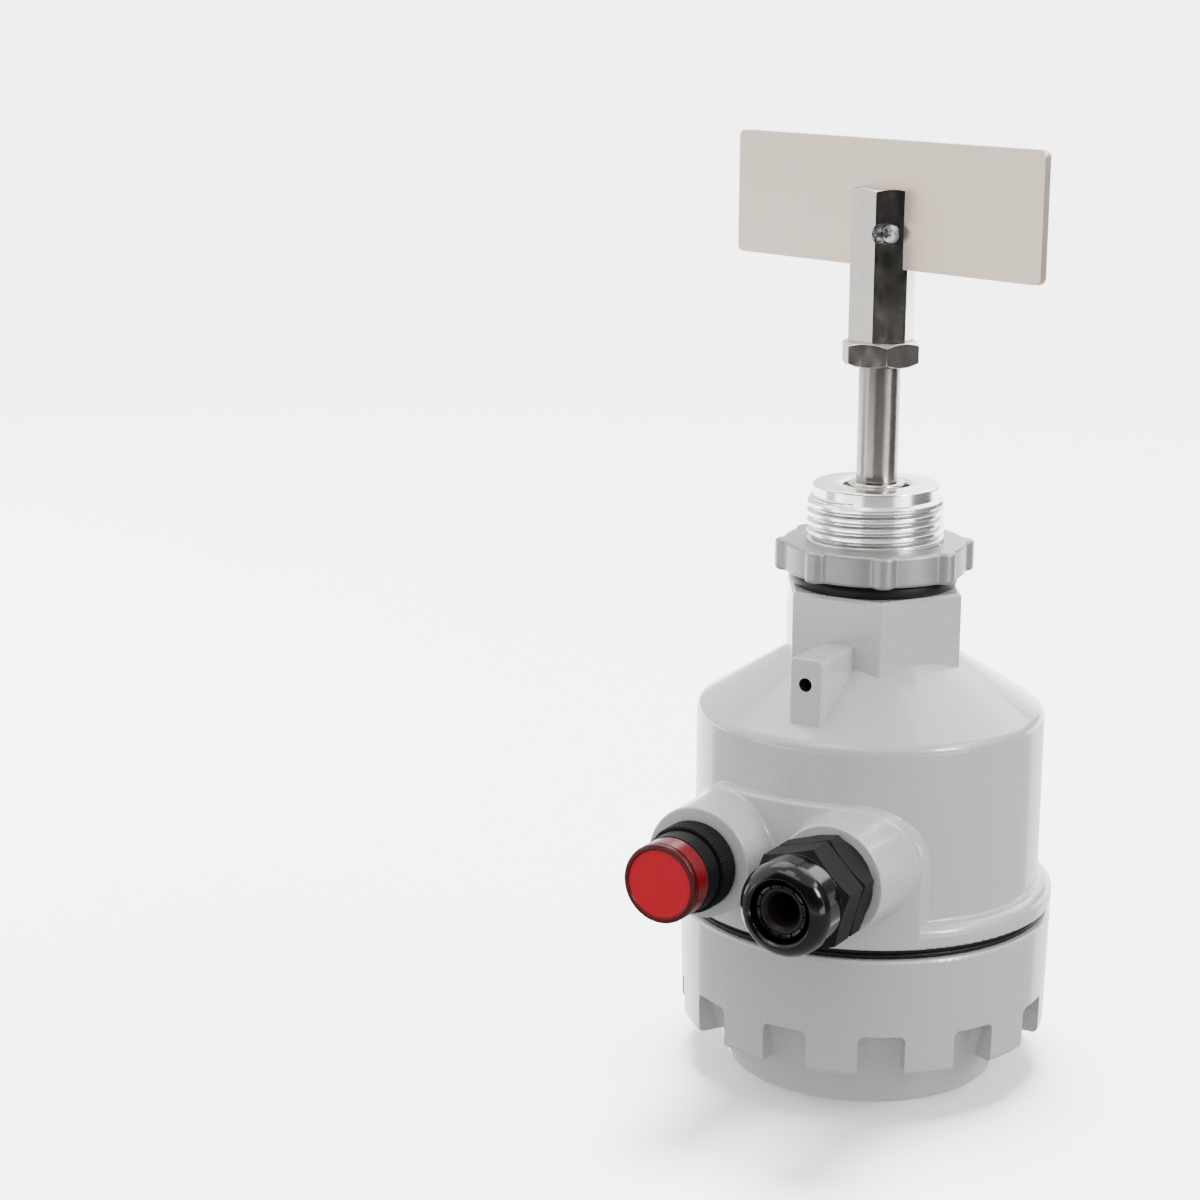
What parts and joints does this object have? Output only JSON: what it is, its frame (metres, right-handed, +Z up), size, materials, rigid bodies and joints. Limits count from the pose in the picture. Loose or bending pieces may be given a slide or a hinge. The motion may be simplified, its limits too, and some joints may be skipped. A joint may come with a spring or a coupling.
{
  "type": "rotary paddle level switch",
  "caption": "Rotary paddle level switch for silos: a motor turns a steel paddle above a threaded spigot, with a cable gland, a red alarm lamp and a screw cover.",
  "frame": {"origin": "centre of the flat foot under the screw cover, on the axis of the paddle shaft", "axes": "+Z up along the shaft to the paddle, -Y the side that the cable gland and the lamp point to"},
  "size_m": [0.095, 0.1251, 0.2285],
  "materials": {
    "painted_alloy": "satin light grey paint over a die casting",
    "nut_alloy": "duller grey casting",
    "thread_alloy": "bright machined",
    "stainless": "satin polished",
    "zinc_steel": "zinc plated",
    "spring_steel": "smooth",
    "bronze": "sintered",
    "black_rubber": "matt",
    "black_nylon": "satin",
    "lamp_black": "gloss",
    "lens_red": "clear red",
    "led_red": "clear",
    "laminate": "paper laminate",
    "terminal_plastic": "moulded",
    "switch_plastic": "moulded"
  },
  "bodies": {
    "housing": {"housing": "painted_alloy", "threaded_spigot": "thread_alloy", "shaft_seal": "black_rubber", "upper_bush": "bronze", "lower_bearing": "stainless", "chassis_plate": "zinc_steel", "chassis_screws": "zinc_steel", "pivot_bush": "bronze", "pivot_clip": "spring_steel", "stop_pins": "zinc_steel", "signal_switch": "switch_plastic", "cutoff_switch": "switch_plastic", "switch_screws": "zinc_steel", "board_pillars": "zinc_steel", "terminal_board": "laminate", "board_screws": "zinc_steel", "terminal_block": "terminal_plastic", "terminal_screws": "zinc_steel", "earth_screw": "zinc_steel", "gland_washer": "black_rubber", "gland_body": "black_nylon", "lamp_washer": "black_rubber", "lamp_body": "lamp_black", "lamp_ring": "lamp_black", "lamp_lens": "lens_red", "lamp_led": "led_red", "lamp_nut": "lamp_black", "lamp_pins": "zinc_steel"},
    "paddle_shaft": {"drive_shaft": "stainless", "retaining_ring": "spring_steel", "slinger_ring": "stainless", "jam_nut": "stainless", "blade_holder": "stainless", "paddle_blade": "stainless", "blade_screw": "stainless", "shaft_coupling": "zinc_steel", "grub_screws": "spring_steel", "motor_shaft": "spring_steel"},
    "swing_motor": {"swing_plate": "zinc_steel", "motor_posts": "zinc_steel", "pusher_pins": "zinc_steel", "gearbox": "zinc_steel", "motor_can": "zinc_steel", "return_spring": "spring_steel"},
    "signal_lever": {"signal_lever": "spring_steel"},
    "cutoff_lever": {"cutoff_lever": "spring_steel"},
    "cover_seal": {"cover_seal": "black_rubber"},
    "cover": {"cover": "painted_alloy"},
    "neck_gasket": {"neck_gasket": "black_rubber"},
    "lock_nut": {"lock_nut": "nut_alloy"},
    "gland_seal": {"gland_seal": "black_rubber"},
    "gland_nut": {"gland_nut": "black_nylon"}
  },
  "joints": [
    {"name": "shaft_spin", "type": "hinge", "parent": "housing", "child": "paddle_shaft", "pos_m": [0, 0, 0.18119], "axis": [0, 0, 1], "continuous": true},
    {"name": "motor_swing", "type": "hinge", "parent": "housing", "child": "swing_motor", "pos_m": [0, 0, 0.08013], "axis": [0, 0, 1], "range_deg": [0, 10], "stiffness_Nm_per_rad": 0.2, "springref_deg": -17.19},
    {"name": "signal_lever_turn", "type": "hinge", "parent": "housing", "child": "signal_lever", "pos_m": [-0.01276, 0.02927, 0.06313], "axis": [-0.5727, 0.8197, 0], "range_deg": [-23, 0]},
    {"name": "cutoff_lever_turn", "type": "hinge", "parent": "housing", "child": "cutoff_lever", "pos_m": [0.03183, -0.00247, 0.06313], "axis": [0.9927, 0.1209, 0], "range_deg": [-23, 0]},
    {"name": "cover_travel", "type": "slide", "parent": "housing", "child": "cover_seal", "axis": [0, 0, -1], "range_m": [0, 0.01305]},
    {"name": "cover_turn", "type": "hinge", "parent": "cover_seal", "child": "cover", "pos_m": [0, 0, 0.041], "axis": [0, 0, -1], "range_deg": [0, 2340]},
    {"name": "nut_travel", "type": "slide", "parent": "housing", "child": "neck_gasket", "axis": [0, 0, 1], "range_m": [0, 0.00905]},
    {"name": "nut_turn", "type": "hinge", "parent": "neck_gasket", "child": "lock_nut", "pos_m": [0, 0, 0.12509], "axis": [0, 0, 1], "range_deg": [0, 1403.2]},
    {"name": "seal_push", "type": "slide", "parent": "housing", "child": "gland_seal", "axis": [0, -1, 0], "range_m": [0, 0.00405]},
    {"name": "gland_nut_turn", "type": "hinge", "parent": "gland_seal", "child": "gland_nut", "pos_m": [0.016, -0.07, 0.0636], "axis": [0, -1, 0], "range_deg": [0, 960]}
  ],
  "couplings": [
    {"joint": "signal_lever_turn", "follows": "motor_swing", "ratio": -2.3},
    {"joint": "cutoff_lever_turn", "follows": "motor_swing", "ratio": -2.3},
    {"joint": "cover_travel", "follows": "cover_turn", "m_per_rad": 0.00031831},
    {"joint": "nut_travel", "follows": "nut_turn", "m_per_rad": 0.00036749},
    {"joint": "seal_push", "follows": "gland_nut_turn", "m_per_rad": 0.00023873}
  ]
}
